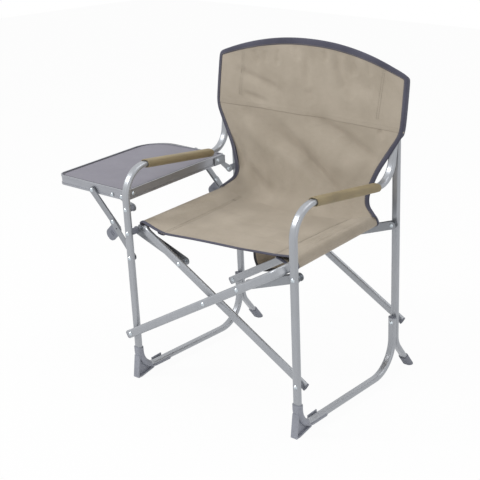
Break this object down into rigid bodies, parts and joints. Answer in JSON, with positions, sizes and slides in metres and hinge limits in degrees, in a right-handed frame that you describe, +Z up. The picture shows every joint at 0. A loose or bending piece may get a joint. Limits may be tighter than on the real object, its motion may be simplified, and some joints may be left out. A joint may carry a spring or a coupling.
{
  "type": "folding camp chair",
  "caption": "Folding director-style camp chair: tubular side frames, scissor cross frames with links, cloth seat and back, foam arm sleeves and a drop-leaf side table on knee braces",
  "frame": {"origin": "centre of the bounding box's footprint, on the floor", "axes": "Z up, the chair faces -Y, +X towards the sitter's left hand as seen from the front on the right; the side table is on the -X side"},
  "size_m": [0.849, 0.5712, 0.8877],
  "materials": {
    "frame_tube": "satin silver-grey powder coat",
    "pressed_steel": "satin grey pressed sheet",
    "shoe_plastic": "moulded blue-grey, fine satin",
    "grey_plastic": "moulded grey",
    "foot_rubber": "soft matte grey",
    "zinc_hardware": "bright zinc",
    "arm_foam": "matte olive-khaki foam",
    "table_top": "fine-grained matte grey-violet",
    "table_rim": "satin silver-grey extrusion",
    "seat_fabric": "woven greige polyester with slate binding",
    "back_fabric": "woven greige polyester with slate binding",
    "pocket_fabric": "woven greige polyester with dark edging"
  },
  "bodies": {
    "right_frame": {"right_side_tube": "frame_tube", "right_rear_post": "frame_tube", "right_front_foot": "shoe_plastic", "right_rear_foot": "foot_rubber", "right_arm_sleeve": "arm_foam", "right_rail_plug": "grey_plastic", "right_upright_plug": "grey_plastic", "right_frame_bolts": "zinc_hardware", "right_frame_spacers": "grey_plastic", "back_cloth": "back_fabric"},
    "left_frame": {"left_side_tube": "frame_tube", "left_rear_post": "frame_tube", "left_front_foot": "shoe_plastic", "left_rear_foot": "foot_rubber", "left_arm_sleeve": "arm_foam", "left_rail_plug": "grey_plastic", "left_upright_plug": "grey_plastic", "left_frame_bolts": "zinc_hardware", "left_frame_spacers": "grey_plastic", "table_hinge_bolts": "zinc_hardware", "table_hinge_spacers": "grey_plastic", "brace_bolts": "zinc_hardware"},
    "rear_cross_frame": {"rear_cross_tube": "frame_tube", "rear_cross_front_plug": "grey_plastic", "rear_cross_rear_plug": "grey_plastic", "rear_cross_rivets": "zinc_hardware", "rear_cross_spacers": "grey_plastic", "seat_cloth": "seat_fabric", "storage_pocket": "pocket_fabric"},
    "front_cross_frame": {"front_cross_tube": "frame_tube", "front_cross_front_plug": "grey_plastic", "front_cross_rear_plug": "grey_plastic", "front_cross_rivets": "zinc_hardware", "front_cross_spacers": "grey_plastic", "centre_bolts": "zinc_hardware"},
    "right_front_link": {"right_front_link": "pressed_steel", "right_front_link_rivet": "zinc_hardware"},
    "right_rear_link": {"right_rear_link": "pressed_steel", "right_rear_link_rivet": "zinc_hardware"},
    "left_front_link": {"left_front_link": "pressed_steel", "left_front_link_rivet": "zinc_hardware"},
    "left_rear_link": {"left_rear_link": "pressed_steel", "left_rear_link_rivet": "zinc_hardware"},
    "table": {"table_rim": "table_rim", "table_panel": "table_top", "table_front_bracket": "pressed_steel", "table_rear_bracket": "pressed_steel", "table_screws": "zinc_hardware", "brace_rim_rivets": "zinc_hardware", "brace_spacers": "grey_plastic"},
    "front_upper_brace": {"front_upper_brace": "pressed_steel", "front_release_tab": "grey_plastic", "front_knee_stud": "zinc_hardware"},
    "rear_upper_brace": {"rear_upper_brace": "pressed_steel", "rear_release_tab": "grey_plastic", "rear_knee_stud": "zinc_hardware"},
    "front_lower_brace": {"front_lower_brace": "pressed_steel", "front_knee_rivet": "zinc_hardware"},
    "rear_lower_brace": {"rear_lower_brace": "pressed_steel", "rear_knee_rivet": "zinc_hardware"}
  },
  "joints": [
    {"name": "fold", "type": "hinge", "parent": "right_frame", "child": "rear_cross_frame", "pos_m": [0.3905, -0.02431, 0.14732], "axis": [0, 0.9986, 0.0523], "range_deg": [0, 42.98], "deforming": ["seat_cloth", "back_cloth", "storage_pocket"]},
    {"name": "cross_centre", "type": "hinge", "parent": "rear_cross_frame", "child": "front_cross_frame", "pos_m": [0.1225, -0.03257, 0.30497], "axis": [0, 0.9986, 0.0523], "range_deg": [-96.81, 0]},
    {"name": "left_low_pivot", "type": "hinge", "parent": "front_cross_frame", "child": "left_frame", "pos_m": [-0.1455, -0.02431, 0.14732], "axis": [0, 0.9986, 0.0523], "range_deg": [0, 42.99]},
    {"name": "right_front_link_pivot", "type": "hinge", "parent": "right_frame", "child": "right_front_link", "pos_m": [0.3905, -0.24368, 0.41621], "axis": [0, 0.9986, 0.0523], "range_deg": [0, 82.69]},
    {"name": "left_front_link_pivot", "type": "hinge", "parent": "left_frame", "child": "left_front_link", "pos_m": [-0.1455, -0.24368, 0.41621], "axis": [0, 0.9986, 0.0523], "range_deg": [-82.69, 0]},
    {"name": "right_rear_link_pivot", "type": "hinge", "parent": "right_frame", "child": "right_rear_link", "pos_m": [0.3905, 0.16576, 0.43767], "axis": [0, 0.9986, 0.0523], "range_deg": [0, 82.69]},
    {"name": "left_rear_link_pivot", "type": "hinge", "parent": "left_frame", "child": "left_rear_link", "pos_m": [-0.1455, 0.16576, 0.43767], "axis": [0, 0.9986, 0.0523], "range_deg": [-82.69, 0]},
    {"name": "table_fold", "type": "hinge", "parent": "left_frame", "child": "table", "pos_m": [-0.1455, -0.04236, 0.49185], "axis": [0, -0.9986, -0.0523], "range_deg": [0, 90]},
    {"name": "front_lower_brace_pivot", "type": "hinge", "parent": "left_frame", "child": "front_lower_brace", "pos_m": [-0.1455, -0.24506, 0.34704], "axis": [0, -0.9986, -0.0523], "range_deg": [0, 140.21]},
    {"name": "front_upper_brace_pivot", "type": "hinge", "parent": "table", "child": "front_upper_brace", "pos_m": [-0.2865, -0.25331, 0.50433], "axis": [0, -0.9986, -0.0523], "range_deg": [-120.99, 0]},
    {"name": "rear_lower_brace_pivot", "type": "hinge", "parent": "left_frame", "child": "rear_lower_brace", "pos_m": [-0.1455, 0.17436, 0.36902], "axis": [0, -0.9986, -0.0523], "range_deg": [0, 140.21]},
    {"name": "rear_upper_brace_pivot", "type": "hinge", "parent": "table", "child": "rear_upper_brace", "pos_m": [-0.2865, 0.16612, 0.52631], "axis": [0, -0.9986, -0.0523], "range_deg": [-120.99, 0]}
  ],
  "couplings": [
    {"joint": "cross_centre", "follows": "fold", "ratio": -2.2522},
    {"joint": "left_low_pivot", "follows": "fold", "ratio": 1},
    {"joint": "right_front_link_pivot", "follows": "fold", "ratio": 1.9237},
    {"joint": "left_front_link_pivot", "follows": "fold", "ratio": -1.9237},
    {"joint": "front_lower_brace_pivot", "follows": "table_fold", "ratio": 1.5577},
    {"joint": "front_upper_brace_pivot", "follows": "table_fold", "ratio": -1.3443},
    {"joint": "right_rear_link_pivot", "follows": "fold", "ratio": 1.9237},
    {"joint": "left_rear_link_pivot", "follows": "fold", "ratio": -1.9237},
    {"joint": "rear_lower_brace_pivot", "follows": "table_fold", "ratio": 1.5577},
    {"joint": "rear_upper_brace_pivot", "follows": "table_fold", "ratio": -1.3443}
  ]
}
